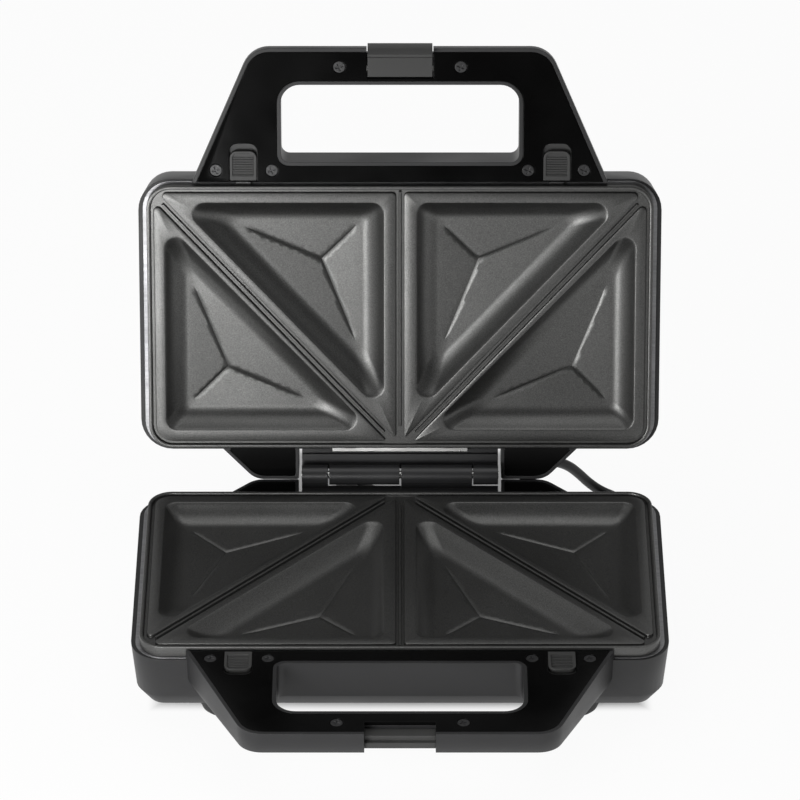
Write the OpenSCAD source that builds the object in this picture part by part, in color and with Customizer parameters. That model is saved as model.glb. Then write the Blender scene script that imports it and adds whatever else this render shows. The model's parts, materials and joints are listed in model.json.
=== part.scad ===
// Two-slice deep-fill sandwich toaster with a hinged lid, drawn open.
// Units are millimetres. X points right, Y to the hinge, Z up; the table is z = 0.
// Each half is drawn once in its own frame: t runs from the mating plane into the half.
// The base is that half turned down, the lid is that half turned up and swung open.
// s is the distance in front of the line where plates and handle meet.

/* [Cooking plates] */
// plate width over the rim
plate_w = 252; // [190:0.1:300]
// plate depth over the rim
plate_d = 136.4; // [100:0.1:170]
// plate corner radius
plate_r = 12; // [6:0.5:25]
// depth of the sandwich pockets below the pad
pocket_h = 8.2; // [5:0.1:14]

/* [Housing] */
// housing width over the mating edge
body_w = 260.4; // [200:0.1:320]
// housing depth, hinge side to handle side
body_d = 140.8; // [110:0.1:180]
// corner radius of the housing in plan
body_r = 16; // [8:0.5:30]
// height of the mating plane above the table
mate_z = 48; // [40:0.5:70]
// how far the housing edge lies below the plate rims
edge_t = 6.1; // [3:0.1:10]
// height of the drafted housing wall
wall_h = 23; // [15:0.5:40]
// draft of the housing wall, inwards over its height
draft = 2.2; // [0:0.1:5]
// bottom chamfer, inwards and along the height
cham = [6, 8.2];
// housing wall thickness
wall = 3; // [2:0.1:4]

/* [Lid] */
// rest pose: how far the lid stands open, degrees
open_deg = 105.2; // [0:0.1:110]

/* [Handles] */
// reach of the handle in front of the plates
reach = 70; // [50:1:100]
// half width of the handle where it leaves the plates
root_x = 103.8; // [80:0.1:120]
// how much the half width falls for each mm of reach
taper = 0.431; // [0:0.001:0.6]
// handle thickness below its face, at the front
handle_h = 13.6; // [8:0.1:20]
// how much thicker the handle gets for each mm towards the housing
rise = 0.1; // [0:0.01:0.2]
// finger hole, width and depth
hole = [118, 39.5];
// distance from the plates to the middle of the finger hole
hole_s = 31.75; // [20:0.25:50]
// width of the rim round the handle covers
rim_w = 1.8; // [1:0.1:4]

/* [Hinge] */
// hinge axis behind the plates
axis_back = 14.1; // [8:0.1:25]
// hinge axis above the mating plane
axis_up = 0.5; // [-2:0.1:4]
// hinge pin radius
pin_r = 2; // [1.5:0.1:4]
// knuckle radius
knuckle_r = 5; // [3:0.1:8]

/* [Latch] */
// latch clip width
latch_w = 32; // [20:0.5:50]
// latch pivot: distance behind the handle's front edge, height into the half
latch_p = [11.5, 6];

/* [Sliders] */
// plate release sliders: distance from the centre line
slider_x = 77.7; // [50:0.1:90]
// slider travel away from the plate
slider_travel = 3.5; // [2:0.1:5]

/* [Cord] */
// mains cord diameter
cord_d = 5.2; // [4:0.1:8]
// middle radius of the cord's coil
coil_r = 29; // [25:0.5:40]

/* [Hidden] */
edge_w = 2.2;                 // housing edge that shows in front of and behind the plates
plate_y = plate_d / 2;        // plates' front and rear edge
side = plate_w / 2;           // plates' right edge
front = max(plate_y, body_d / 2 - edge_w);  // handles start in front of plates and housing seat
rear = front;                 // the hinge side starts behind them
root_s = body_d / 2 - edge_w - front + 0.4; // handles grow out of the housing wall
root_y = body_d / 2 - edge_w - 2;           // and so does the hinge side
axis_y = rear + axis_back;
axis_z = mate_z + axis_up;
fit = 0.15;                   // gap round a cover in its seat
rim_t = 0.2;                  // plate rim top
pad_t = 0.6;                  // plate pad top
face_t = 1.0;                 // handle cover face
cover_h = 2;                  // handle cover thickness
cover_s = 1.9;                // rear edge of the handle covers
seat_t = face_t + cover_h;
flange_t = edge_t - 0.5;      // reflector flange top
chamfer_t = edge_t + wall_h;
floor_t = chamfer_t + cham[1];
handle_floor = face_t + handle_h;
// reflector: its flange on the housing edge, outside of its pan, sheet thickness, pan floor
flange = [body_w - 4.4, body_d - 2, body_r - 2];
pan = [body_w - 16.4, body_d - 14.8, body_r - 6];
sheet = 0.8;
pan_t = edge_t + 16.7;
// heating element: half size of the loop, corner and leg radius, tube radius, height, leg place
loop = [pan[0] / 2 - 27, pan[1] / 2 - 20];
loop_r = 25;
leg_r = 12;
tube_r = 3.2;
tube_t = 16;
leg_x = 20;
// rear lobes
lobe_t = 4.7;                 // rim
lobe_y = rear + 17.8;         // back edge
hinge_x = 49.4;               // half width of the hinge
lobe_x = [hinge_x + 1.6, 73]; // inner edge, and where the back edge ends
knuckle_x = 36.6;             // where the knuckles of the two halves meet
joint_gap = 0.3;
hinge_screw = [40, 17];       // x and t of the bracket screws
// handle parts
screw_sites = [[slider_x + 13.5, 7.9], [slider_x - 14.2, 7.8], [latch_w / 2 + 14, reach - 9.5]];
head_r = 2.9;                 // cover screw heads
pivot_s = reach - latch_p[0];
latch_gap = [0.5, 0.85];      // latch clip to the lid's notch, keeper beyond the clip
button = [13.2, 14.9];        // slider button
button_s = 2.8;               // its rear end
slider_seat = 6.8;
slide_h = 3.2;                // slider plate thickness
slide_s = [4.4, button_s + button[1] + slider_travel + 0.6];   // slider plate from, to
spring_s = [slide_s[1] + slider_travel + 2.1, 2];              // spring seat from, thickness
boss_x = 60;                  // reflector screws
foot_at = [body_w / 2 - 44.2, body_d / 2 - 20.8];
lamp_sites = [[-22, -40], [22, -40]];
gland = [65, 16];             // cord gland: x, and t below the mating plane
e = 0.01;
back_y = axis_y + (floor_t - axis_up) * sin(open_deg)
  - (axis_y + body_d / 2 - draft - cham[0]) * cos(open_deg);
y0 = (front + reach - back_y) / 2;  // moves the origin under the middle of the open part

// ---------- frames ----------
module world() translate([0, y0, 0]) children();
module base_half() translate([0, y0, mate_z]) mirror([0, 0, 1]) children();
module lid_half() world() translate([0, axis_y, axis_z]) rotate([-open_deg, 0, 0])
  translate([0, -axis_y, -axis_z]) translate([0, 0, mate_z]) children();
module sides() { children(); mirror([1, 0, 0]) children(); }
module at_s(x, s) translate([x, -front - s, 0]) children();
// leans a slab the way the handle's underside leans
module leaning() multmatrix([[1, 0, 0, 0], [0, 1, 0, 0], [0, rise, 1, rise * (front + reach)],
                             [0, 0, 0, 1]]) children();

// ---------- outlines ----------
function unit(v) = v / norm(v);
function arc_at(a, b, c, r, n) = r <= 0 ? [b] :
  let(u = unit(a - b), v = unit(c - b), h = acos(u * v) / 2, k = b + unit(u + v) * r / sin(h),
      p = b + u * (r / tan(h)) - k, q = b + v * (r / tan(h)) - k,
      a1 = atan2(p[1], p[0]), d0 = atan2(q[1], q[0]) - a1,
      d = d0 > 180 ? d0 - 360 : (d0 < -180 ? d0 + 360 : d0))
  [for (i = [0 : n]) k + r * [cos(a1 + d * i / n), sin(a1 + d * i / n)]];
function rounded(p, r, n = 8) = let(m = len(p))
  [for (i = [0 : m - 1]) each arc_at(p[(i + m - 1) % m], p[i], p[(i + 1) % m],
                                      is_list(r) ? r[i] : r, n)];
function box2(w, d) = [[-w / 2, -d / 2], [w / 2, -d / 2], [w / 2, d / 2], [-w / 2, d / 2]];
function rrect(w, d, r, i = 0, n = 8) = rounded(box2(w - 2 * i, d - 2 * i), max(r - i, 0.5), n);
function handle_x(s) = root_x - taper * s;
function floor_at(s) = handle_floor + rise * (reach - s);
// handle outline, moved in by i at the sides and f at the front, from distance s0 on
function handle_out(i, s0, f = undef) = let(f1 = is_undef(f) ? i : f,
    k = i * sqrt(1 + taper * taper), s1 = reach - f1, x0 = handle_x(s0) - k, x1 = handle_x(s1) - k)
  rounded([[-x0, -front - s0], [-x1, -front - s1], [x1, -front - s1], [x0, -front - s0]],
          [0, 13.8 - i, 13.8 - i, 0], 8);
function lobe_out(i, ya) = let(yb = max(ya, rear + 1.7),
    xb = lobe_x[1] - 1.414 * i + lobe_y - yb, xa = lobe_x[0] + i)
  rounded(concat([[xa, ya], [xa, lobe_y - i], [lobe_x[1] - 0.414 * i, lobe_y - i], [xb, yb]],
                 ya < yb ? [[xb, ya]] : []), ya < yb ? [0, 1.2, 11, 0, 0] : [0, 1.2, 11, 0], 6);
module slab(p, t0, t1) translate([0, 0, t0]) linear_extrude(t1 - t0) polygon(p);
module block(x0, x1, s0, s1, t0, t1)
  translate([x0, -front - s1, t0]) cube([x1 - x0, s1 - s0, t1 - t0]);
module rod(r, t0, t1, f = 32) translate([0, 0, t0]) cylinder(r = r, h = t1 - t0, $fn = f);
// cylinders along x and along y
module rod_x(r, x0, x1, f = 32) translate([x0, 0, 0]) rotate([0, 90, 0])
  cylinder(r = r, h = x1 - x0, $fn = f);
module rod_y(r, y1, y2, f = 32) translate([0, y1, 0]) rotate([-90, 0, 0])
  cylinder(r = r, h = y2 - y1, $fn = f);

// ---------- tube along a list of points ----------
function smooth1(p) = concat([p[0]], [for (i = [0 : len(p) - 2]) each
  [p[i] * 0.75 + p[i + 1] * 0.25, p[i] * 0.25 + p[i + 1] * 0.75]], [p[len(p) - 1]]);
function tangent(p, i) = unit(p[min(i + 1, len(p) - 1)] - p[max(i - 1, 0)]);
function ring(c, t, r, n, up) = let(a = unit(cross(t, up)), b = cross(a, t))
  [for (k = [0 : n - 1]) c + r * (a * cos(360 * k / n) + b * sin(360 * k / n))];
module tube(p, r, n, up = [0, 0, 1]) {
  m = len(p);
  pts = [for (i = [0 : m - 1]) each ring(p[i], tangent(p, i), r, n, up)];
  polyhedron(points = pts, faces = concat([[for (k = [0 : n - 1]) k]],
    [for (i = [0 : m - 2]) for (k = [0 : n - 1])
      [i * n + k, (i + 1) * n + k, (i + 1) * n + (k + 1) % n, i * n + (k + 1) % n]],
    [[for (k = [n - 1 : -1 : 0]) (m - 1) * n + k]]));
}

// ---------- one half's housing ----------
module housing_outside() hull() {
  slab(rrect(body_w, body_d, body_r), edge_t, edge_t + 0.1);
  slab(rrect(body_w, body_d, body_r, draft), chamfer_t - 0.1, chamfer_t);
  slab(rrect(body_w, body_d, body_r, draft + cham[0]), floor_t - 0.1, floor_t);
}
module housing_inside() hull() {
  slab(rrect(body_w, body_d, body_r, wall), edge_t - 2, edge_t);
  slab(rrect(body_w, body_d, body_r, draft + wall - 0.4), chamfer_t - 0.6, chamfer_t - 0.5);
  slab(rrect(body_w, body_d, body_r, draft + cham[0] + 1.6), floor_t - 2.6, floor_t - 2.5);
}
module handle_outside() hull() {
  slab(handle_out(0, root_s), face_t, face_t + 4.2);
  slab(handle_out(0.3, root_s, 0.4), face_t + 6.7, face_t + 6.8);
  leaning() slab(handle_out(0.8, root_s, 1.4), handle_floor - 3.8, handle_floor - 3.7);
  leaning() slab(handle_out(1.6, root_s, 2.9), handle_floor - 1.1, handle_floor - 1);
  leaning() slab(handle_out(3.2, root_s, 5.2), handle_floor - 0.1, handle_floor);
}
// finger hole grown by i: wide corners at the front, tight ones near the plates
module finger_hole(i) at_s(0, hole_s)
  slab(rounded(box2(hole[0] + 2 * i, hole[1] + 2 * i), [9.5 + i, 9.5 + i, 4.2 + i, 4.2 + i]), -2, 26);
module handle_inside() difference() {
  union() {
    slab(handle_out(rim_w, 0.2), -1, seat_t);
    hull() {
      slab(handle_out(3.5, 2.3), seat_t - e, 9);
      leaning() slab(handle_out(5.6, 2.3, 7.4), handle_floor - 2.5, handle_floor - 2.4);
    }
  }
  difference() { finger_hole(rim_w); slab(box2(400, 400), seat_t, 30); }
  intersection() { finger_hole(3.5); slab(box2(400, 400), seat_t, 30); }
}
module lobes_outside() sides() slab(lobe_out(0, root_y), lobe_t, 26);
module lobes_inside() sides() {
  slab(lobe_out(1.6, rear + 2.4), lobe_t - 1, lobe_t + 1.6);
  slab(lobe_out(3.2, rear + 2.4), lobe_t, 23.6);
}
// guides, seat and spring stop under one slider
module slider_guides() at_s(slider_x, 0) {
  far = spring_s[0] + spring_s[1];
  for (k = [-9.6, 8.1]) translate([k, -far, seat_t]) cube([1.5, far - 3, floor_at(far) - 0.2 - seat_t]);
  translate([-8.2, -far, slider_seat]) cube([16.4, far - 3, 2]);
  translate([-8.2, -far, seat_t]) cube([16.4, spring_s[1], slider_seat]);
}
module half_shell() {
  difference() {
    union() {
      housing_outside();
      handle_outside();
      lobes_outside();
      translate([-hinge_x, root_y, edge_t + 0.2]) cube([2 * hinge_x, rear + 2.4 - root_y, 20]);
    }
    housing_inside();
    handle_inside();
    lobes_inside();
    finger_hole(0);
    slab(rrect(flange[0], flange[1], flange[2], -joint_gap), -2, edge_t);
    plate_slab(-0.4, -2, edge_t);
    sides() block(slider_x - 4.3, slider_x + 4.3, 0, 4, -2, 5);
    sides() translate([lobe_x[0] + 1.8, rear, lobe_t - 1]) cube([32.4, 3, 1.9]);
  }
  difference() {
    union() {
      for (p = screw_sites) sides() at_s(p[0], p[1]) rod(3.6, seat_t, floor_at(p[1]) - 1.2);
      sides() slider_guides();
      for (x = [-boss_x, boss_x]) translate([x, 0, 0]) rod(4, pan_t + 0.1, floor_t - 2);
    }
    for (x = [-boss_x, boss_x]) translate([x, 0, 0]) rod(1.5, pan_t - 2, floor_t - 3.3, 24);
    for (p = screw_sites) sides() at_s(p[0], p[1]) rod(1.5, seat_t - 1, 10.6, 24);
    finger_hole(0);
  }
}
// ---------- one half's trim ----------
module half_cover(notch_w, notch_s) difference() {
  slab(handle_out(rim_w + fit, cover_s), face_t, seat_t);
  finger_hole(rim_w + fit);
  for (p = screw_sites) sides() at_s(p[0], p[1]) {
    rod(1.8, 0, 5, 24);
    rod(head_r + 0.3, 0, face_t + 1, 28);
  }
  sides() slider_slot();
  block(-notch_w, notch_w, notch_s, 90, 0, 5);
}
module slider_slot() let(s1 = button_s + button[1] + slider_travel + joint_gap, s0 = button_s - 0.2)
  at_s(slider_x, (s0 + s1) / 2)
    slab(rounded(box2(button[0] + 0.6, s1 - s0), [4, 4, 0.6, 0.6], 6), 0, 5);
module half_lobe_covers() sides() {
  slab(lobe_out(1.75, rear + 2.55), lobe_t + 0.1, lobe_t + 1.55);
  translate([lobe_x[0] + 2, rear + 0.5, lobe_t + 0.1]) cube([32, 3, 0.7]);
}
module half_screws() for (p = screw_sites) sides() at_s(p[0], p[1]) difference() {
  union() { rod(head_r, face_t + 0.2, face_t + 1, 28); rod(1.45, face_t + 0.5, 10, 24); }
  for (a = [0, 90]) rotate([0, 0, a + 20]) translate([-1.9, -0.4, face_t + 0.1]) cube([3.8, 0.8, 0.6]);
}
module half_reflector() {
  difference() {
    union() {
      slab(rrect(flange[0], flange[1], flange[2]), flange_t, edge_t);
      slab(rrect(pan[0], pan[1], pan[2]), flange_t + 0.1, pan_t);
    }
    slab(rrect(pan[0], pan[1], pan[2], sheet), flange_t - 1, pan_t - sheet);
    for (x = [-leg_x, leg_x]) translate([x, 0, tube_t]) rod_y(tube_r + 0.2, pan[1] / 2 - 3, pan[1] / 2 + 5);
    for (x = [-boss_x, boss_x]) translate([x, 0, 0]) rod(1.7, pan_t - 3, pan_t + 1, 24);
  }
  for (x = [-1, 1], y = [-9, 9]) translate([x * loop[0] - 3, y - 1, tube_t + tube_r + 0.1])
    cube([6, 2, pan_t - sheet - tube_t - tube_r]);
  for (x = [-45, 45], y = [-1, 1]) translate([x - 1, y * loop[1] - 3, tube_t + tube_r + 0.1])
    cube([2, 6, pan_t - sheet - tube_t - tube_r]);
}
module half_reflector_screws() for (x = [-boss_x, boss_x]) translate([x, 0, 0]) {
  rod(3, pan_t - 2.5, pan_t - 0.9, 28);
  rod(1.45, pan_t - 1.3, floor_t - 3.8, 24);
}
// sheathed element: a loop with two straight legs to the rear
module bend(x, y, r, a0) translate([x, y, tube_t]) rotate([0, 0, a0])
  rotate_extrude(angle = 90, $fn = 64) translate([r, 0]) circle(r = tube_r, $fn = 32);
module half_element() {
  turn_x = loop[0] - loop_r;
  turn_y = loop[1] - loop_r;
  translate([0, -loop[1], tube_t]) rod_x(tube_r, -turn_x, turn_x);
  sides() {
    translate([leg_x, 0, tube_t]) {
      rod_y(tube_r, loop[1] + leg_r, pan[1] / 2 + 1.6);
      rod_y(1.5, pan[1] / 2 + 1.5, pan[1] / 2 + 3.2);
    }
    bend(leg_x + leg_r, loop[1] + leg_r, leg_r, 180);
    translate([0, loop[1], tube_t]) rod_x(tube_r, leg_x + leg_r, turn_x);
    bend(turn_x, turn_y, loop_r, 0);
    translate([loop[0], 0, tube_t]) rod_y(tube_r, -turn_y, turn_y);
    bend(turn_x, -turn_y, loop_r, 270);
  }
}
// ---------- cooking plate ----------
// sandwich pockets: the two triangles left of the centre line
// they stay inside both the plate's rim and the reflector's pan
pocket_x = min(side - 8.7, pan[0] / 2 - 4.7);
pocket_y = [min(plate_y - 8.8, pan[1] / 2 - 3.6), min(plate_y - 9.5, pan[1] / 2 - 4.3)];
tri_a = [[6.7 - pocket_x, -pocket_y[0]], [-8, -pocket_y[0]], [-8, pocket_y[1] - 8.1]];
tri_b = [[-pocket_x, 9.1 - pocket_y[0]], [-pocket_x, pocket_y[1]], [-14.4, pocket_y[1]]];
function rim_of(t) = norm(t[1] - t[0]) + norm(t[2] - t[1]) + norm(t[0] - t[2]);
function mid_of(t) = (norm(t[1] - t[2]) * t[0] + norm(t[2] - t[0]) * t[1]
                      + norm(t[0] - t[1]) * t[2]) / rim_of(t);
function inner_r(t) = abs(cross(t[1] - t[0], t[2] - t[0])) / rim_of(t);
function inset3(t, i) = let(m = mid_of(t)) [for (v = t) m + (v - m) * (1 - i / inner_r(t))];
module pocket(t, i, r, h) hull() {
  slab(rounded(inset3(t, i), r, 5), 0, pad_t + 0.1);
  slab(rounded(inset3(t, i + 7), r - 2, 5), h - 0.1, h);
  translate([mid_of(t)[0], mid_of(t)[1], h]) cylinder(r = 0.5, h = 1, $fn = 8);
}
diag = [[-pocket_x - 3.3, -pocket_y[0] - 2.1], [-7.5, pocket_y[1] + 2]];
module diagonal(w, t0, t1) let(d = diag[1] - diag[0]) translate([diag[0][0], diag[0][1], t0])
  rotate([0, 0, atan2(d[1], d[0])]) translate([0, -w / 2, 0]) cube([norm(d), w, t1 - t0]);
module plate_slab(i, t0, t1) slab(rrect(plate_w, plate_d, plate_r, i), t0, t1);
module half_plate() difference() {
  union() {
    difference() {
      plate_slab(0, rim_t, flange_t);
      plate_slab(2, pad_t + 2.5, flange_t + 1);
      plate_slab(1.9, -1, pad_t);
      difference() {
        plate_slab(1.9, -1, pad_t + 1.5);
        plate_slab(3.5, -2, pad_t + 2);
      }
      sides() diagonal(4, -1, pad_t + 1.4);
      translate([-2, -plate_y + 3, -1]) cube([4, plate_d - 12, pad_t + 2.4]);
    }
    sides() for (t = [tri_a, tri_b]) difference() {
      pocket(t, -0.5, 6, pad_t + pocket_h + 2.5);
      slab(box2(400, 400), -1, pad_t + 1.6);
    }
    sides() diagonal(1.1, pad_t + 1, pad_t);
    translate([-0.55, -plate_y + 4, pad_t]) cube([1.1, plate_d - 14, 1.9]);
    sides() translate([20, plate_y - 1, 3.5]) cube([7, rear + 2.1 - plate_y, 1.1]);
  }
  sides() for (t = [tri_a, tri_b]) pocket(t, 0, 6, pad_t + pocket_h);
  sides() translate([slider_x - 4, -plate_y - 1, 3]) cube([8, 4, 1.6]);
}
// bright angle behind the plate that holds its two rear tabs
module half_retainer() difference() {
  union() {
    translate([-34, rear + 0.25, 2.5]) cube([68, 2.2, 0.8]);
    translate([-34, rear + 1.45, 2.5]) cube([68, 1.0, edge_t - 2.5]);
  }
  sides() translate([22, rear - 1, 2]) cube([5, 1.7, 2]);
}
// ---------- release sliders (right-hand one; the left is its mirror image) ----------
module half_slider() at_s(slider_x, 0) difference() {
  union() {
    difference() {
      translate([0, -button_s - button[1] / 2, 0])
        slab(rounded(box2(button[0], button[1]), [3.5, 3.5, 0.5, 0.5], 6), face_t - 0.3, seat_t + 0.5);
      translate([0, -button_s - button[1] / 2 - 0.6, 0])
        slab(rounded(box2(button[0] - 2.6, button[1] - 3.4), [2.4, 2.4, 0.4, 0.4], 6), 0, face_t + 0.4);
    }
    for (k = [0 : 7])
      translate([-button[0] / 2 + 1.3, -button_s - 3 - 1.25 * k, face_t])
        cube([button[0] - 2.6, 0.6, 0.6]);
    translate([-7.8, -slide_s[1], seat_t + 0.3]) cube([15.6, slide_s[1] - slide_s[0], slide_h]);
  }
  translate([-3.7, -12.2, 3.25]) cube([7.4, 12, 1.1]);
}
module half_catch() at_s(slider_x, 0) translate([-3.6, -12.1, 3.3])
  cube([7.2, 13.3 + front - plate_y, 1.0]);
function spring_pts(n) = let(a = slide_s[1] + 0.3, b = spring_s[0] - 0.3)
  [for (i = [0 : n]) let(w = 360 * 4.5 * i / n)
    [1.4 * cos(w), -a - (b - a) * i / n, seat_t + 1.95 + 1.4 * sin(w)]];
module half_spring() at_s(slider_x, 0) tube(spring_pts(54), 0.25, 6, [0, 1, 0]);

// ---------- hinge brackets ----------
module knuckle(x0, x1, t) translate([0, axis_y, t]) rod_x(knuckle_r, x0, x1, 48);
module bracket(ranges, bar_t, ax_t) difference() {
  union() {
    translate([-hinge_x, rear + 5.1, bar_t]) cube([2 * hinge_x, 7.7, 3.6]);
    translate([-hinge_x, rear + 2.5, bar_t + 2]) cube([2 * hinge_x, 2.7, 15]);
    for (r = ranges) {
      knuckle(r[0], r[1], ax_t);
      translate([r[0], axis_y - 4, ax_t + 3]) cube([r[1] - r[0], 6.4, bar_t + 0.6 - ax_t]);
    }
  }
  translate([0, axis_y, ax_t]) rod_x(pin_r + 0.05, -60, 60, 48);
  for (x = [-1, 1]) translate([x * hinge_screw[0], 0, hinge_screw[1]]) rod_y(1.8, rear, rear + 8, 24);
}
module half_hinge_screws() for (x = [-1, 1]) translate([x * hinge_screw[0], 0, hinge_screw[1]]) {
  rod_y(3, rear + 5.3, rear + 7.3, 28);
  rod_y(1.6, rear - 2.7, rear + 6.3, 24);
}
module screw_holes() for (x = [-1, 1]) translate([x * hinge_screw[0], 0, hinge_screw[1]])
  rod_y(1.65, rear - 4, rear + 8, 24);

// ================= base =================
module base_shell() color("DimGray") base_half() difference() {
  union() {
    half_shell();
    block(-keeper_x - 2.8, keeper_x + 2.8, reach - 13.4, reach - 2.8, seat_t, handle_floor - 1.4);
  }
  screw_holes();
  block(-keeper_x - 0.05, keeper_x + 0.05, reach - 9.8, reach + 10, -2, 25);
  translate([gland[0], 0, gland[1]]) rod_y(5.05, root_y - 1, rear + 40, 40);
  for (p = foot_sites) translate([p[0], p[1], 0]) rod(1.6, floor_t - 7.3, floor_t + 2.7, 24);
}
keeper_x = latch_w / 2 + latch_gap[1];
foot_sites = [for (x = [-1, 1], y = [-1, 1]) [x * foot_at[0], y * foot_at[1]]];
module base_handle_cover() color("Black") base_half() half_cover(keeper_x + 0.05, reach - 9.8);
module base_lobe_covers() color("Black") base_half() half_lobe_covers();
module base_reflector() color("Silver") base_half() half_reflector();
module base_element() color("Gray") base_half() half_element();
module base_plate() color("DarkSlateGray") base_half() half_plate();
module base_plate_retainer() color("Silver") base_half() half_retainer();
module base_slider_right() color("DimGray") base_half() half_slider();
module base_slider_left() color("DimGray") base_half() mirror([1, 0, 0]) half_slider();
module base_catch_right() color("Silver") base_half() half_catch();
module base_catch_left() color("Silver") base_half() mirror([1, 0, 0]) half_catch();
module base_spring_right() color("Silver") base_half() half_spring();
module base_spring_left() color("Silver") base_half() mirror([1, 0, 0]) half_spring();
module latch_keeper() color("DimGray") base_half() rotate([90, 0, 0]) rotate([0, 90, 0])
  translate([0, 0, -keeper_x]) linear_extrude(2 * keeper_x) polygon([for (p = [[9.6, 4.6],
    [3.5, 4.6], [3.5, 5.5], [4.8, 5.9], [4.8, 8], [3.2, 8.6], [3.2, 11.6], [9.6, 11.6]])
    [-front - reach + p[0], p[1]]]);
module base_cover_screws() color("Gray") base_half() half_screws();
module base_hinge_bracket() color("DimGray") base_half()
  bracket([[-hinge_x, -knuckle_x + joint_gap], [2 * joint_gap, knuckle_x - joint_gap]], 5.3, -axis_up);
module hinge_pin() color("Silver") world() translate([0, axis_y, axis_z])
  rod_x(pin_r, -hinge_x - 0.2, hinge_x + 0.2, 48);
module thermostat() color("Silver") base_half() {
  rod(8, pan_t, pan_t + 5);
  translate([-7, -5, pan_t + 5]) cube([14, 10, 3]);
  for (x = [-12, 6.5]) translate([x, -2, pan_t + 5.8]) cube([5.5, 4, 0.8]);
}
module thermal_fuse() color("Tan") base_half() {
  translate([0, 20, pan_t + 2.2]) rod_x(2, -50, -34, 24);
  translate([-45, 18, pan_t]) cube([6, 4, 1.5]);
}
module terminal_block() color("White") base_half()
  translate([gland[0] - 15, body_d / 2 - 26.4, floor_t - 14.5]) cube([24, 10, 12]);
module feet() color("Black") base_half() for (p = foot_sites) translate([p[0], p[1], floor_t])
  let(h = mate_z - floor_t) difference() {
    union() {
      cylinder(r1 = 14, r2 = 10.6, h = h - 1.6, $fn = 48);
      translate([0, 0, h - 1.6]) cylinder(r1 = 10.6, r2 = 9, h = 1.6, $fn = 48);
    }
    rod(3.8, h - 4, h + 1);
    rod(1.7, -1, h, 24);
  }
module foot_screws() color("Gray") base_half() for (p = foot_sites) translate([p[0], p[1], 0]) {
  rod(3.4, mate_z - 4, mate_z - 2.2, 28);
  rod(1.5, floor_t - 5, mate_z - 3.8, 24);
}
module base_hinge_screws() color("Gray") base_half() half_hinge_screws();
module base_reflector_screws() color("Gray") base_half() half_reflector_screws();

// ---------- mains cord ----------
module strain_relief() color("Black") world() translate([gland[0], rear + 14.6, mate_z - gland[1]])
  rotate([-90, 0, 0]) difference() {
    union() {
      cylinder(r = 5.0, h = 4, $fn = 40);
      translate([0, 0, 3.3]) cylinder(r = 6.2, h = 2, $fn = 40);
      translate([0, 0, 5.3]) cylinder(r1 = 5.4, r2 = 3.7, h = 22, $fn = 40);
    }
    translate([0, 0, -1]) cylinder(r = cord_d / 2 + 0.05, h = 40, $fn = 40);
  }
coil_c = [0, 152];
turn = cord_d + 0.1;
route = [[65, 66, 32], [65, 90, 32], [65, 104, 32], [67, 114, 31.5], [73, 121, 30.5],
  [80, 126.5, 27.5], [86.5, 130.5, 22.5], [92, 133, 16], [97, 134.5, 9.5], [103.5, 134.5, 4.2],
  [111, 131.5, 2.6], [117, 124.5, 2.6], [118, 115, 2.6], [112.5, 106.5, 2.6], [103, 101.5, 2.6],
  [91, 99.5, 2.6], [72, 99, 2.6], [54, 100, 2.6], [41, 106.5, 2.6], [34, 118, 2.6],
  [coil_r + turn / 2, 131, 2.6], [coil_r + turn / 2, 152, 2.6]];
tail = [[coil_r + turn / 2, 152, 2.6 + turn], [31, 164, 7], [30, 176, 5], [28.5, 188, 6],
  [28, 202, 9.5], [28, 212, 10]];
plug = [28, 209, 10];
module mains_cord() color("Black") world() {
  tube(smooth1(smooth1(route)), cord_d / 2, 10);
  tube(smooth1(smooth1(tail)), cord_d / 2, 10);
}
module cord_coil() color("Black") world() translate(coil_c) rotate_extrude($fn = 64)
  for (i = [-0.5, 0.5], j = [0, 1]) translate([coil_r + turn * i, cord_d / 2 + turn * j])
    circle(r = cord_d / 2, $fn = 12);
module cord_tie() color("Black") world() translate([coil_c[0] - 4, coil_c[1] + coil_r, 0])
  difference() {
    translate([0, -7.2, 0]) cube([8, 14.4, 2 * turn + 1.6]);
    translate([-1, -5.5, -1]) cube([10, 11, 2 * turn + 1.05]);
  }
// moulded plug, lying on its side
module plug_body() color("Black") world() translate(plug) rotate([-90, 0, 0]) difference() {
  union() {
    cylinder(r1 = 4.2, r2 = 6, h = 14, $fn = 40);
    translate([0, 0, 14]) cylinder(r1 = 8.5, r2 = 10, h = 20, $fn = 40);
    intersection() {
      translate([0, 0, 34]) cylinder(r = 17.5, h = 8, $fn = 56);
      translate([-20, -10, 30]) cube([40, 20, 20]);
    }
  }
  translate([0, 0, -1]) cylinder(r = cord_d / 2 + 0.05, h = 12, $fn = 40);
  for (x = [-9.5, 9.5]) translate([x, 0, 35]) cylinder(r = 2.4, h = 10, $fn = 32);
}
module plug_pins() color("Silver") world() translate(plug) rotate([-90, 0, 0])
  for (x = [-9.5, 9.5]) translate([x, 0, 35]) {
    cylinder(r = 2.35, h = 25, $fn = 32);
    translate([0, 0, 25]) cylinder(r1 = 2.35, r2 = 1.2, h = 1.5, $fn = 32);
  }

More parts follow.
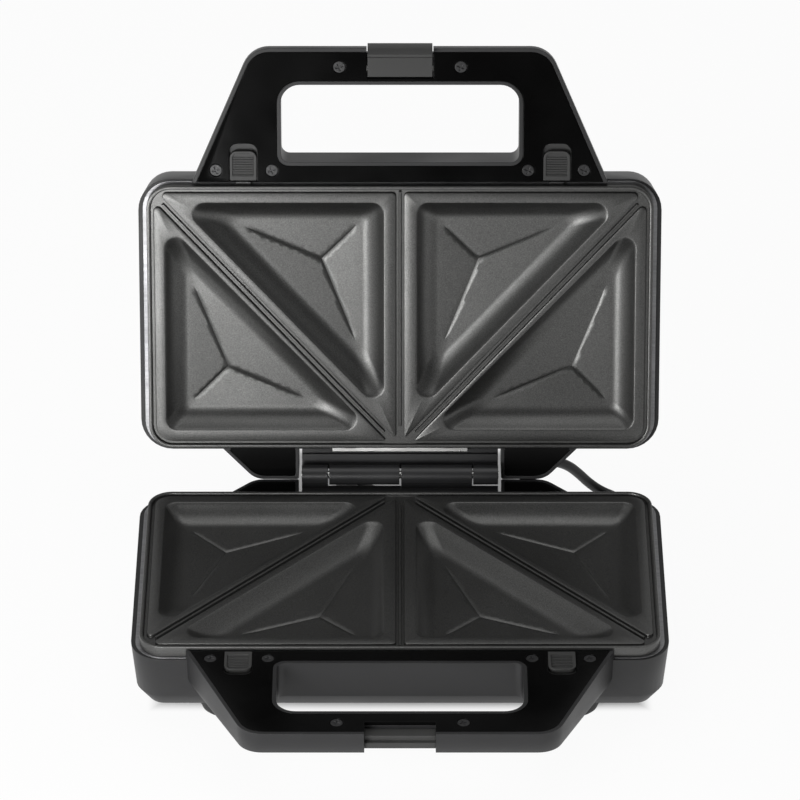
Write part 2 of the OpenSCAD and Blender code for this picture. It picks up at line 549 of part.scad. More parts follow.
// ================= lid =================
notch_x = latch_w / 2 + latch_gap[0];
module at_pivot() at_s(0, pivot_s) translate([0, 0, latch_p[1]]) children();
module lid_shell() color("DimGray") lid_half() difference() {
  union() {
    half_shell();
    sides() block(notch_x, notch_x + 5, pivot_s - 2.9, pivot_s + 3.3, seat_t, handle_floor - 0.9);
  }
  screw_holes();
  block(-notch_x, notch_x, pivot_s - 3.7, reach + 10, -2, 11.7);
  block(-notch_x, notch_x, reach - 4.8, reach + 10, -2, 20);
  at_pivot() rod_x(1.55, -notch_x - 4.5, notch_x + 4.5);
  for (p = lamp_sites) translate([p[0], p[1], 0]) rod(4.1, floor_t - 7.3, floor_t + 2.7);
}
module lid_handle_cover() color("Black") lid_half() half_cover(notch_x, pivot_s - 3.7);
module lid_lobe_covers() color("Black") lid_half() half_lobe_covers();
module lid_reflector() color("Silver") lid_half() half_reflector();
module lid_element() color("Gray") lid_half() half_element();
module lid_plate() color("DarkSlateGray") lid_half() half_plate();
module lid_plate_retainer() color("Silver") lid_half() half_retainer();
module lid_slider_right() color("DimGray") lid_half() half_slider();
module lid_slider_left() color("DimGray") lid_half() mirror([1, 0, 0]) half_slider();
module lid_catch_right() color("Silver") lid_half() half_catch();
module lid_catch_left() color("Silver") lid_half() mirror([1, 0, 0]) half_catch();
module lid_spring_right() color("Silver") lid_half() half_spring();
module lid_spring_left() color("Silver") lid_half() mirror([1, 0, 0]) half_spring();
module lid_cover_screws() color("Gray") lid_half() half_screws();
module lid_hinge_screws() color("Gray") lid_half() half_hinge_screws();
module lid_reflector_screws() color("Gray") lid_half() half_reflector_screws();
module lid_hinge_bracket() color("DimGray") lid_half()
  bracket([[-knuckle_x + 1, -joint_gap], [knuckle_x + joint_gap, hinge_x]], 6.3, axis_up);
module latch_clip() color("Gray") lid_half() difference() {
  union() {
    block(-latch_w / 2, latch_w / 2, pivot_s - 2.9, reach - 2.4, 0.8, 3.4);
    rotate([90, 0, 0]) rotate([0, 90, 0]) translate([0, 0, -latch_w / 2]) linear_extrude(latch_w)
      polygon([for (p = [[2.5, -6.5], [1.2, -6.5], [-1, -2.8], [-1, 8], [0.4, 10.2], [2.5, 10.2],
        [2.5, -5.2], [3.1, -5.9]]) [-front - reach + p[0], p[1]]]);
    at_pivot() rod_x(2.8, -latch_w / 2, latch_w / 2);
  }
  at_pivot() rod_x(1.55, -latch_w, latch_w);
}
module latch_pin() color("Silver") lid_half() at_pivot() rod_x(1.5, -notch_x - 4.4, notch_x + 4.4);
module lens(i) translate([lamp_sites[i][0], lamp_sites[i][1], 0]) {
  rod(4, floor_t - 4.1, floor_t);
  rod(5.2, floor_t, floor_t + 1.2);
}
module power_lens() color("Red") lid_half() lens(0);
module ready_lens() color("Green") lid_half() lens(1);
module indicator_lamps() color("White") lid_half() for (p = lamp_sites)
  translate([p[0], p[1], 0]) {
    rod(2.8, floor_t - 11.3, floor_t - 4.3, 24);
    rod(4.5, floor_t - 12.8, floor_t - 11.1, 24);
  }

// ================= output =================
base_shell();
base_handle_cover();
base_lobe_covers();
base_reflector();
base_element();
base_plate();
base_plate_retainer();
base_slider_left();
base_slider_right();
base_catch_left();
base_catch_right();
base_spring_left();
base_spring_right();
latch_keeper();
base_cover_screws();
base_hinge_bracket();
hinge_pin();
thermostat();
thermal_fuse();
terminal_block();
feet();
foot_screws();
strain_relief();
mains_cord();
cord_coil();
cord_tie();
plug_body();
plug_pins();
lid_shell();
lid_handle_cover();
lid_lobe_covers();
lid_reflector();
lid_element();
lid_plate();
lid_plate_retainer();
lid_slider_left();
lid_slider_right();
lid_catch_left();
lid_catch_right();
lid_spring_left();
lid_spring_right();
lid_cover_screws();
lid_hinge_bracket();
latch_clip();
latch_pin();
power_lens();
ready_lens();
indicator_lamps();
base_hinge_screws();
lid_hinge_screws();
base_reflector_screws();
lid_reflector_screws();
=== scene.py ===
import json
from math import atan2, cos, pi, radians, sin, tan

import bmesh
import bpy
from mathutils import Matrix, Vector
from mathutils.geometry import delaunay_2d_cdt


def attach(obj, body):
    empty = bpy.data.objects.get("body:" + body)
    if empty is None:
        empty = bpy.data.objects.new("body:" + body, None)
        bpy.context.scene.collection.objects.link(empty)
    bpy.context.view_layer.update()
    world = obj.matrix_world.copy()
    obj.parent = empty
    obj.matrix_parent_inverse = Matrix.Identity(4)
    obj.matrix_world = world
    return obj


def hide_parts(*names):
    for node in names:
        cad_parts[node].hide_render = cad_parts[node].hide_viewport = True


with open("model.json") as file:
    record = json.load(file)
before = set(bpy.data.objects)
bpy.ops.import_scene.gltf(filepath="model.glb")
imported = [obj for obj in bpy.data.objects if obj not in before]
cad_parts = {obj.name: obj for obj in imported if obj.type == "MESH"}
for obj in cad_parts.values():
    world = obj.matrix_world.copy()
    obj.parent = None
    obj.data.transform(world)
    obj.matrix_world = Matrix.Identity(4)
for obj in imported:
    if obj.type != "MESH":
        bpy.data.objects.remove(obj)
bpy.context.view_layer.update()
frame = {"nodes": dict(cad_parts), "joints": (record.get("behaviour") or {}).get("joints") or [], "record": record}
scene = bpy.context.scene
MM = 0.001


def place(obj):
    scene.collection.objects.link(obj)


# ---------------------------------------------------------------- places, in millimetres
# Each half is described in its own frame: x to the right, y to the hinge, t from the mating
# plane into the half. Two matrices carry that frame to the base and to the open lid.
OPEN = 105.2                      # how far the lid stands open, degrees
MATE_Z = 48.0                     # the base's mating plane above the table
PLATE_W, PLATE_D, PLATE_R = 252.0, 136.4, 12.0
EDGE = PLATE_D / 2                # y of the plates' rear edge, and -y of their front edge
HINGE_BACK = 14.1                 # from the plates' rear edge to the hinge's axis
hinge = frame["joints"][0]["pos_m"]
HINGE = Vector((0, hinge[1], hinge[2]))
Y0 = hinge[1] / MM - EDGE - HINGE_BACK        # y of the plates' middle in the frame

SCALE = Matrix.Scale(MM, 4)
BASE = Matrix.Translation((0, Y0 * MM, MATE_Z * MM)) @ Matrix.Scale(-1, 4, (0, 0, 1)) @ SCALE
LID = (Matrix.Translation(HINGE) @ Matrix.Rotation(-radians(OPEN), 4, "X")
       @ Matrix.Translation(-HINGE) @ Matrix.Translation((0, Y0 * MM, MATE_Z * MM)) @ SCALE)


# ---------------------------------------------------------------- camera
# The photograph looks down at 32.5 degrees from straight in front, with a long lens.
CAM_DOWN = 32.496                 # degrees below the horizon
CAM_AT = (0.0, (Y0 - 2285.8) * MM, 1.6015)
LENS, SENSOR = 252.9, 36          # millimetres

camera = bpy.data.objects.new("camera", bpy.data.cameras.new("camera"))
camera.data.lens = LENS
camera.data.sensor_width = SENSOR
camera.data.clip_end = 60
camera.location = CAM_AT
camera.rotation_euler = (radians(90 - CAM_DOWN), 0, 0)
place(camera)
scene.camera = camera


# ---------------------------------------------------------------- material helpers
def material(name, color, roughness, metallic=0.0, specular=0.5):
    """A new Principled material; returns it with its node tree, links and shader."""
    m = bpy.data.materials.new(name)
    m.use_nodes = True
    shader = m.node_tree.nodes["Principled BSDF"]
    shader.inputs["Base Color"].default_value = (*color, 1)
    shader.inputs["Roughness"].default_value = roughness
    shader.inputs["Metallic"].default_value = metallic
    shader.inputs["Specular IOR Level"].default_value = specular
    return m, m.node_tree.nodes, m.node_tree.links, shader


def noise(nodes, links, scale, detail=3.0, stretch=(1, 1, 1)):
    """A noise field in the object's own metres; returns its factor socket."""
    where = nodes.new("ShaderNodeTexCoord")
    mapping = nodes.new("ShaderNodeMapping")
    mapping.inputs["Scale"].default_value = stretch
    tex = nodes.new("ShaderNodeTexNoise")
    tex.inputs["Scale"].default_value = scale
    tex.inputs["Detail"].default_value = detail
    links.new(where.outputs["Object"], mapping.inputs["Vector"])
    links.new(mapping.outputs["Vector"], tex.inputs["Vector"])
    return tex.outputs["Fac"]


def ramp(nodes, links, factor, low, high, color_low, color_high):
    """factor from low to high turns into a colour between two colours."""
    r = nodes.new("ShaderNodeValToRGB")
    r.color_ramp.elements[0].position = low
    r.color_ramp.elements[0].color = (*color_low, 1)
    r.color_ramp.elements[1].position = high
    r.color_ramp.elements[1].color = (*color_high, 1)
    links.new(factor, r.inputs["Fac"])
    return r.outputs["Color"]


def number(nodes, links, kind, *values):
    """One arithmetic node; each value is a socket or a constant."""
    n = nodes.new("ShaderNodeMath")
    n.operation = kind
    for socket, value in zip(n.inputs, values):
        if isinstance(value, (int, float)):
            socket.default_value = value
        else:
            links.new(value, socket)
    return n.outputs[0]


def spread(nodes, links, factor, low, high):
    """factor from 0.3 to 0.7 turns into a number from low to high."""
    r = nodes.new("ShaderNodeMapRange")
    r.inputs["From Min"].default_value = 0.3
    r.inputs["From Max"].default_value = 0.7
    r.inputs["To Min"].default_value = low
    r.inputs["To Max"].default_value = high
    links.new(factor, r.inputs["Value"])
    return r.outputs["Result"]


def relief(nodes, links, shader, height, depth, strength=1.0, soften=0.0):
    """A bump of that depth in metres, on edges softened over the radius `soften`."""
    bump = nodes.new("ShaderNodeBump")
    bump.inputs["Distance"].default_value = depth
    bump.inputs["Strength"].default_value = strength
    links.new(height, bump.inputs["Height"])
    if soften:
        bevel = nodes.new("ShaderNodeBevel")
        bevel.samples = 6
        bevel.inputs["Radius"].default_value = soften
        links.new(bevel.outputs["Normal"], bump.inputs["Normal"])
    links.new(bump.outputs["Normal"], shader.inputs["Normal"])


def moulded(name, color, roughness, grain=1500, depth=0.00003, spread_by=0.06, soften=0.0004,
            specular=0.5):
    """Moulded plastic: fine grain, cloudy roughness, softened edges."""
    m, nodes, links, shader = material(name, color, roughness, specular=specular)
    fine = noise(nodes, links, grain)
    cloud = noise(nodes, links, 28, 4)
    darker = tuple(c * 0.8 for c in color)
    lighter = tuple(c * 1.2 for c in color)
    links.new(ramp(nodes, links, cloud, 0.3, 0.7, darker, lighter), shader.inputs["Base Color"])
    links.new(spread(nodes, links, cloud, roughness - spread_by, roughness + spread_by),
              shader.inputs["Roughness"])
    relief(nodes, links, shader, fine, depth, soften=soften)
    return m


def brushed(name, color, roughness, stretch, depth=0.00001):
    """Bare metal with fine lines along one direction."""
    m, nodes, links, shader = material(name, color, roughness, metallic=1.0)
    lines = noise(nodes, links, 900, 2, stretch)
    cloud = noise(nodes, links, 60, 3)
    darker = tuple(c * 0.75 for c in color)
    links.new(ramp(nodes, links, lines, 0.3, 0.7, darker, color), shader.inputs["Base Color"])
    links.new(spread(nodes, links, cloud, roughness - 0.08, roughness + 0.08),
              shader.inputs["Roughness"])
    relief(nodes, links, shader, lines, depth, soften=0.0003)
    return m


def non_stick():
    """The plates' coating: dark grey with fine metallic flakes."""
    m, nodes, links, shader = material("plate_coating", (0.11, 0.11, 0.108), 0.36, metallic=0.85)
    flakes = noise(nodes, links, 2600, 2)
    cloud = noise(nodes, links, 35, 4)
    links.new(ramp(nodes, links, flakes, 0.34, 0.68, (0.075, 0.075, 0.073), (0.15, 0.15, 0.147)),
              shader.inputs["Base Color"])
    links.new(spread(nodes, links, cloud, 0.33, 0.39), shader.inputs["Roughness"])
    relief(nodes, links, shader, flakes, 0.00002, 0.5)
    return m


HOUSING = moulded("housing", (0.014, 0.014, 0.0148), 0.48)
HANDLE_FACE = moulded("gloss_cover", (0.0022, 0.0022, 0.0022), 0.14, grain=300, depth=0.000004,
                      spread_by=0.03, specular=0.14)
GREY = moulded("grey_plastic", (0.038, 0.038, 0.037), 0.5)
RUBBER = moulded("rubber", (0.014, 0.014, 0.014), 0.7, depth=0.00005)
JACKET = moulded("cord", (0.009, 0.009, 0.0095), 0.45, grain=1100, soften=0.0)
CERAMIC = moulded("ceramic", (0.62, 0.58, 0.5), 0.6)
RED = moulded("red_lens", (0.35, 0.01, 0.008), 0.15, depth=0.000005)
GREEN = moulded("green_lens", (0.02, 0.25, 0.04), 0.15, depth=0.000005)
COATING = non_stick()
BRIGHT = brushed("bright_steel", (0.85, 0.85, 0.83), 0.32, (0.03, 1, 1))
ALUMINISED = brushed("aluminised", (0.4, 0.4, 0.41), 0.45, (0.03, 1, 1))
DARK_STEEL = moulded("dark_steel", (0.022, 0.022, 0.023), 0.34, grain=2200)
ELEMENT = brushed("element", (0.16, 0.15, 0.14), 0.5, (1, 1, 1))
CATCH_PAINTED_SHADE = brushed("catch_steel_painted_shade", (0.1, 0.1, 0.1), 0.5, (0.03, 1, 1))   # the bright steel darkened: painted shade on the catches
BRASS = brushed("brass_pin", (0.6, 0.47, 0.26), 0.25, (1, 0.03, 1))

FINISH = {"housing": HOUSING, "gloss_cover": HANDLE_FACE, "handle_cover": HANDLE_FACE,
          "grey_plastic": GREY, "rubber": RUBBER, "cord": JACKET, "ceramic": CERAMIC,
          "red_lens": RED, "green_lens": GREEN, "plate_coating": COATING, "bright_steel": BRIGHT,
          "aluminised": ALUMINISED, "dark_steel": DARK_STEEL, "element": ELEMENT,
          "brass_pin": BRASS}


# ---------------------------------------------------------------- carried-over CAD nodes
SMOOTH_UNDER = 32                 # facets that meet under this angle shade as one surface
PLATE_SMOOTH_UNDER = 30           # the same for the cooking plates


def dress_nodes():
    """Every CAD node gets its slot's material, except the catches, which get a darkened copy of their steel as
    painted shade, and smooth shading up to its real edges.
    """
    for part in frame["record"]["subparts"]:
        node = frame["nodes"][part["node"]]
        node.data.materials.clear()
        # the catches take the darkened steel, a painted shade, instead of their slot's bright steel
        finish = CATCH_PAINTED_SHADE if "_catch_" in part["node"] else FINISH[part["material_slot"]]
        node.data.materials.append(finish)
        for face in node.data.polygons:
            face.use_smooth = True
            face.material_index = 0
        weld = node.modifiers.new("weld", "WELD")
        weld.merge_threshold = 1e-6
        split = node.modifiers.new("edges", "EDGE_SPLIT")
        split.split_angle = radians(SMOOTH_UNDER)


dress_nodes()


# ---------------------------------------------------------------- outlines
def unit(v):
    return v / v.length


def meet(p, u, q, v):
    """Where the line through p along u meets the line through q along v."""
    return p + u * ((q - p).cross(v) / u.cross(v))


def corner(a, b, c, r, steps):
    """The arc of radius r that rounds the corner b between a and c."""
    if r <= 0:
        return [b.copy()]
    u, v = unit(a - b), unit(c - b)
    half = u.angle(v) / 2
    centre = b + unit(u + v) * (r / sin(half))
    p, q = b + u * (r / tan(half)) - centre, b + v * (r / tan(half)) - centre
    start = atan2(p.y, p.x)
    turn = atan2(q.y, q.x) - start
    if turn > pi:
        turn -= 2 * pi
    elif turn < -pi:
        turn += 2 * pi
    return [centre + r * Vector((cos(start + turn * k / steps), sin(start + turn * k / steps)))
            for k in range(steps + 1)]


def rounded(points, radii, steps=10):
    """A closed outline with its corners rounded, by one radius or one for each corner."""
    n = len(points)
    radii = radii if isinstance(radii, (list, tuple)) else [radii] * n
    out = []
    for i in range(n):
        out += corner(points[i - 1], points[i], points[(i + 1) % n], radii[i], steps)
    return out


def rectangle(inset):
    """The plate's outline, moved inwards."""
    w, d, r = PLATE_W / 2 - inset, PLATE_D / 2 - inset, max(PLATE_R - inset, 0.6)
    return rounded([Vector(p) for p in ((-w, -d), (w, -d), (w, d), (-w, d))], r, 12)


def inward(points, by):
    """A convex outline, anticlockwise or clockwise, with every side moved inwards."""
    n = len(points)
    turn = 1 if sum((points[i] - points[i - 1]).cross(points[(i + 1) % n] - points[i])
                    for i in range(n)) > 0 else -1
    sides = []
    for i in range(n):
        d = unit(points[(i + 1) % n] - points[i])
        normal = Vector((-d.y, d.x)) * turn
        sides.append((points[i] + normal * by, d))
    out = []
    for i in range(n):
        (p, u), (q, v) = sides[i - 1], sides[i]
        out.append(meet(p, u, q, v))
    return out


def incentre(tri):
    a, b, c = ((tri[1] - tri[2]).length, (tri[2] - tri[0]).length, (tri[0] - tri[1]).length)
    return (tri[0] * a + tri[1] * b + tri[2] * c) / (a + b + c)


def inset_of(tri, point):
    """How far inside the triangle's nearest side the point lies; negative outside."""
    turn = 1 if (tri[1] - tri[0]).cross(tri[2] - tri[1]) > 0 else -1
    return min(turn * (tri[(i + 1) % 3] - tri[i]).normalized().cross(point - tri[i])
               for i in range(3))


# ---------------------------------------------------------------- cooking plates
RIM_T, PAD_T, CHANNEL_T = 0.2, 0.6, 2.1       # depths below the mating plane
RIM_SIDE_T = 0.62                 # where the rim's rounding starts on its outer side
SKIRT_W, SKIRT_T, SKIRT_EASE = 2.0, 5.6, 0.25  # width, bottom and eased edge of the skirt
SHEET = 2.5                       # thickness under the pads
POCKET_H, POCKET_RISE = 8.2, 0.9  # depth at the wall's foot, and more in the middle
WALL_W, WALL_CURVE = 11.5, 2.3    # width of a pocket's wall, and the power of its curve
WALL_RINGS = 13
CONE_REACH = 31                   # inset at which the floor's cone is at its full depth
HUB_REACH = 30.5                  # inset that sets the depth where the creases meet
RADIUS_LOSS = 0.28                # how much a corner tightens for each millimetre inwards
CREASE_W, CREASE_H = 1.7, 0.45
CREASE_STEPS = 8
CREASE_FADE, CREASE_TIP = 0.75, 0.35          # where a crease starts to fade, and its tip's share
FIELD_STEP = 1.8                  # between the even points of a pocket's floor
FOOT_CLEAR, CREASE_CLEAR = 0.9, 0.45          # what those points keep from wall and creases
# from an edge: how far in, and how deep
RIM_PROFILE = [(0, RIM_SIDE_T), (0.13, 0.33), (0.42, RIM_T), (1.45, RIM_T), (1.75, 0.33),
               (1.9, 0.7), (2.0, 1.9), (2.2, CHANNEL_T)]
PAD_PROFILE = [(-0.1, CHANNEL_T), (0, 1.9), (0.08, 0.95), (0.22, 0.7), (0.55, PAD_T)]
LIP_PROFILE = [(-0.45, PAD_T), (-0.15, PAD_T + 0.05), (0.08, PAD_T + 0.22)]
# a ridge, from its foot: half its width, and how deep
RIDGE_PROFILE = [(0.72, CHANNEL_T), (0.6, 1.9), (0.5, 0.75), (0.3, 0.5)]
RIDGE_ENDS = (4.4, 3.5)           # what the slanting ridges keep from the diagonal's ends
SPINE_ENDS = (3.4, 12)            # what the middle ridge keeps from the front and rear edges
# the bulges under the pockets: reach, rings, start outside the pocket, metal under its floor
BULGE_REACH, BULGE_RINGS, BULGE_OUT, BULGE_METAL = 11, 7, 1.2, 0.4
TABS_X, TAB_W = (-27, 20), 7      # rear tabs that hook under the housing's edge
TAB_Y, TAB_T = (EDGE - 1, EDGE + 1.1), (3.5, 4.6)


def plane_point(x, p):
    """A point by its distance p from the plate's rear edge."""
    return Vector((x, EDGE - p))


# the two sandwich triangles left of the centre line; the others mirror them
POCKET_FRONT = [plane_point(*p) for p in ((-110.6, 127.6), (-8, 127.6), (-8, 17.6))]
POCKET_SIDE = [plane_point(*p) for p in ((-117.3, 118.5), (-117.3, 9.5), (-14.4, 9.5))]
POCKETS = ((POCKET_FRONT, 6.0), (POCKET_SIDE, 5.8))       # with their corners' radii
DIAGONAL = [plane_point(-120.6, 129.7), plane_point(-6, 6)]
CHANNEL = 2.0                     # half width of the channels between the pads
PAD_EDGE = 3.5                    # the outer channel's inner side, from the rim's outer edge
FRONT_PAD_R, REAR_PAD_R = (2.2, 2.0, 0.9), (2.2, 8.5, 0.9)


def pads():
    """The two raised pads left of the centre line, as triangles."""
    d = unit(DIAGONAL[1] - DIAGONAL[0])
    side = Vector((-d.y, d.x)) * CHANNEL          # to the side pad
    w, f = PLATE_W / 2 - PAD_EDGE, EDGE - PAD_EDGE
    ax, ay = Vector((1, 0)), Vector((0, 1))
    near, far = DIAGONAL[0] - side, DIAGONAL[0] + side
    front = [meet(near, d, Vector((0, -f)), ax), Vector((-CHANNEL, -f)),
             meet(near, d, Vector((-CHANNEL, 0)), ay)]
    rear = [meet(far, d, Vector((-w, 0)), ay), Vector((-w, f)), meet(far, d, Vector((0, f)), ax)]
    return front, rear


def pocket_depth(inside):
    """Depth of a pocket at a distance inside its outline: a curved wall, then a shallow cone."""
    if inside < WALL_W:
        return PAD_T + POCKET_H * (1 - (1 - inside / WALL_W) ** WALL_CURVE)
    return PAD_T + POCKET_H + POCKET_RISE * (inside - WALL_W) / (CONE_REACH - WALL_W)


class Sheet:
    """Points and edges of a flat drawing that becomes a surface."""

    def __init__(self):
        self.points, self.depths, self.edges = [], [], []

    def add(self, point, t):
        self.points.append(Vector(point[:2]))
        self.depths.append(t)
        return len(self.points) - 1

    def loop(self, points, t):
        ids = [self.add(p, t) for p in points]
        self.edges += [(ids[i - 1], ids[i]) for i in range(len(ids))]

    def line(self, ids):
        self.edges += list(zip(ids, ids[1:]))

    def surface(self):
        verts, _, faces, origin, _, _ = delaunay_2d_cdt(self.points, self.edges, [], 1, 1e-5)
        return [Vector((v.x, v.y, self.depths[o[0]])) for v, o in zip(verts, origin)], faces


def mirror(points, side):
    """The points themselves left of the centre line (-1), or their mirror image (1)."""
    return points if side < 0 else [Vector((-p.x, p.y)) for p in points]


def pocket_lines(drawing, tri, radius):
    """One pocket: rings down its wall, then the three creases of its floor."""
    for inside, t in LIP_PROFILE:
        drawing.loop(rounded(inward(tri, inside), radius), t)
    for k in range(1, WALL_RINGS + 1):
        inside = WALL_W * k / WALL_RINGS
        r = radius - RADIUS_LOSS * inside
        drawing.loop(rounded(inward(tri, inside), r), pocket_depth(inside))
    centre = incentre(tri)
    c = drawing.add(centre, pocket_depth(HUB_REACH) + CREASE_H)
    foot = inward(tri, WALL_W + 0.6)
    r = radius - RADIUS_LOSS * WALL_W
    dirs = [unit(p - centre) for p in foot]
    ends = []
    for k, (p, d) in enumerate(zip(foot, dirs)):
        half = abs(d.angle(unit(foot[(k + 1) % 3] - p) * -1))
        ends.append(p - d * (r * (1 / sin(half) - 1) + 0.5))
    joins = []
    for k in range(3):
        a, b = dirs[k], dirs[(k + 1) % 3]
        half = a.angle(b) / 2
        joins.append(centre + unit(a + b) * (CREASE_W / 2 / sin(half)))
    join_ids = [drawing.add(p, pocket_depth(inset_of(tri, p))) for p in joins]
    for k in range(3):
        d, end = dirs[k], ends[k]
        side = Vector((-d.y, d.x)) * CREASE_W / 2
        if side.dot(joins[k] - centre) < 0:
            side = -side
        reach = (end - centre).length
        middle, left, right = [c], [join_ids[k]], [join_ids[k - 1]]
        for s in range(1, CREASE_STEPS + 1):
            f = s / CREASE_STEPS
            p = centre + d * reach * f
            level = pocket_depth(inset_of(tri, p))
            fade = 1 if f < CREASE_FADE else (1 - f) / (1 - CREASE_FADE)
            middle.append(drawing.add(p, level + CREASE_H * fade))
            if s < CREASE_STEPS:
                width = CREASE_TIP + (1 - CREASE_TIP) * fade
                for line, q in ((left, p + side * width), (right, p - side * width)):
                    if reach * f > CREASE_W * 1.5:
                        line.append(drawing.add(q, pocket_depth(inset_of(tri, q))))
        left.append(middle[-1])
        right.append(middle[-1])
        for line in (middle, left, right):
            drawing.line(line)
    floor_field(drawing, tri, [(centre, d) for d in dirs])


def floor_field(drawing, tri, creases):
    """Evenly spread points on a pocket's floor, clear of its foot and of its creases."""
    xs, ys = [p.x for p in tri], [p.y for p in tri]
    for i in range(int((max(xs) - min(xs)) / FIELD_STEP)):
        for j in range(int((max(ys) - min(ys)) / FIELD_STEP)):
            p = Vector((min(xs) + FIELD_STEP * (i + 0.5 * (j % 2)), min(ys) + FIELD_STEP * j))
            inside = inset_of(tri, p)
            if inside < WALL_W + FOOT_CLEAR:
                continue
            off = min(abs(d.cross(p - c)) for c, d in creases if d.dot(p - c) > -2)
            if off > CREASE_W / 2 + CREASE_CLEAR:
                drawing.add(p, pocket_depth(inside))


def plate_top():
    """The cooking side: rim, channels with their ridges, four pads and four pockets."""
    drawing = Sheet()
    for inset, t in RIM_PROFILE:
        drawing.loop(rectangle(inset), t)
    front, rear = pads()
    for side in (-1, 1):
        for pad, radii in ((front, FRONT_PAD_R), (rear, REAR_PAD_R)):
            for inset, t in PAD_PROFILE:
                r = [max(x - inset, 0.3) for x in radii]
                drawing.loop(rounded(inward(mirror(pad, side), inset), r, 8), t)
        d = unit(DIAGONAL[1] - DIAGONAL[0])
        across = Vector((-d.y, d.x))
        for half, t in RIDGE_PROFILE:
            a = DIAGONAL[0] + d * (RIDGE_ENDS[0] - half)
            b = DIAGONAL[1] - d * (RIDGE_ENDS[1] - half)
            ridge = [a - across * half, b - across * half, b + across * half, a + across * half]
            drawing.loop(mirror(ridge, side), t)
        for tri, radius in POCKETS:
            pocket_lines(drawing, mirror(tri, side), radius)
    for half, t in RIDGE_PROFILE:
        y0, y1 = -EDGE + SPINE_ENDS[0] - half, EDGE - SPINE_ENDS[1] + half
        drawing.loop([Vector(p) for p in ((-half, y0), (half, y0), (half, y1), (-half, y1))], t)
    return drawing.surface()


def plate_underside():
    """The back of the casting: flat between the pockets, which bulge out of it."""
    drawing = Sheet()
    drawing.loop(rectangle(SKIRT_W), PAD_T + SHEET)
    for side in (-1, 1):
        for tri, radius in POCKETS:
            for k in range(BULGE_RINGS + 1):
                inside = BULGE_REACH * k / BULGE_RINGS
                r = max(radius + BULGE_OUT - 0.3 * inside, 1)
                t = PAD_T + SHEET + (POCKET_H + BULGE_METAL) * (1 - (1 - k / BULGE_RINGS) ** 2)
                drawing.loop(rounded(inward(mirror(tri, side), inside - BULGE_OUT), r, 6), t)
            drawing.add(incentre(mirror(tri, side)), PAD_T + SHEET + POCKET_H + 1.2)
    return drawing.surface()


def bridge(bm, low, high):
    """A band of faces between two rings with as many points."""
    for i in range(len(low)):
        bm.faces.new((low[i - 1], low[i], high[i], high[i - 1]))


def block(bm, x0, x1, y0, y1, t0, t1):
    made = bmesh.ops.create_cube(bm, size=1)["verts"]
    bmesh.ops.scale(bm, vec=(x1 - x0, y1 - y0, t1 - t0), verts=made)
    bmesh.ops.translate(bm, vec=((x0 + x1) / 2, (y0 + y1) / 2, (t0 + t1) / 2), verts=made)


def finish_mesh(name, bm, matrix, mat):
    """Turns the drawing into an object, smooth except where faces meet sharply."""
    bmesh.ops.remove_doubles(bm, verts=bm.verts, dist=1e-4)
    bmesh.ops.recalc_face_normals(bm, faces=bm.faces)
    mesh = bpy.data.meshes.new(name)
    bm.transform(matrix)
    if matrix.determinant() < 0:
        bmesh.ops.reverse_faces(bm, faces=bm.faces)
    bm.to_mesh(mesh)
    bm.free()
    for face in mesh.polygons:
        face.use_smooth = True
    mesh.set_sharp_from_angle(angle=radians(PLATE_SMOOTH_UNDER))
    mesh.materials.append(mat)
    obj = bpy.data.objects.new(name, mesh)
    place(obj)
    return obj


def cooking_plate(name, matrix, body):
    bm = bmesh.new()
    for verts, faces in (plate_top(), plate_underside()):
        ids = [bm.verts.new(v) for v in verts]
        for f in faces:
            bm.faces.new([ids[i] for i in f])
    # the skirt between the rim's outer edge and the underside
    rings = []
    for inset, t in ((0, RIM_SIDE_T), (0, SKIRT_T - SKIRT_EASE), (SKIRT_EASE, SKIRT_T),
                     (SKIRT_W - SKIRT_EASE, SKIRT_T), (SKIRT_W, SKIRT_T - SKIRT_EASE),
                     (SKIRT_W, PAD_T + SHEET)):
        rings.append([bm.verts.new((p.x, p.y, t)) for p in rectangle(inset)])
    for low, high in zip(rings, rings[1:]):
        bridge(bm, low, high)
    for x in TABS_X:
        block(bm, x, x + TAB_W, *TAB_Y, *TAB_T)
    plate = finish_mesh(name, bm, matrix, COATING)
    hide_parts(body + "_plate")
    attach(plate, body)


cooking_plate("base_cooking_plate", BASE, "base")
cooking_plate("lid_cooking_plate", LID, "lid")


# ---------------------------------------------------------------- mains cord
CORD_D = 5.2
TURN = CORD_D + 0.1               # pitch between neighbouring turns
COIL_AT, COIL_R = Vector((0, 152, 0)), 29.0
COIL_STEPS, CLIMB = 40, 0.3       # points in a turn, and the share of it that changes place
# listed points from the housing to the coil, and from the coil to the plug
ROUTE = [(65, 66, 32), (65, 90, 32), (65, 104, 32), (67, 114, 31.5), (73, 121, 30.5),
         (80, 126.5, 27.5), (86.5, 130.5, 22.5), (92, 133, 16), (97, 134.5, 9.5),
         (103.5, 134.5, 4.2), (111, 131.5, 2.6), (117, 124.5, 2.6), (118, 115, 2.6),
         (112.5, 106.5, 2.6), (103, 101.5, 2.6), (91, 99.5, 2.6), (72, 99, 2.6), (54, 100, 2.6),
         (41, 106.5, 2.6), (34, 118, 2.6), (COIL_R + TURN / 2, 131, 2.6),
         (COIL_R + TURN / 2, 152, 2.6)]
TAIL = [(COIL_R + TURN / 2, 152, 2.6 + TURN), (31, 164, 7.0), (30, 176, 5.0), (28.5, 188, 6),
        (28, 202, 9.5), (28, 212, 10)]


def eased(points):
    """Corner-cutting, twice: the same rounding that the cord's solid has."""
    points = [Vector(p) for p in points]
    for _ in range(2):
        cut = [points[0]]
        for a, b in zip(points, points[1:]):
            cut += [a * 0.75 + b * 0.25, a * 0.25 + b * 0.75]
        points = cut + [points[-1]]
    return points


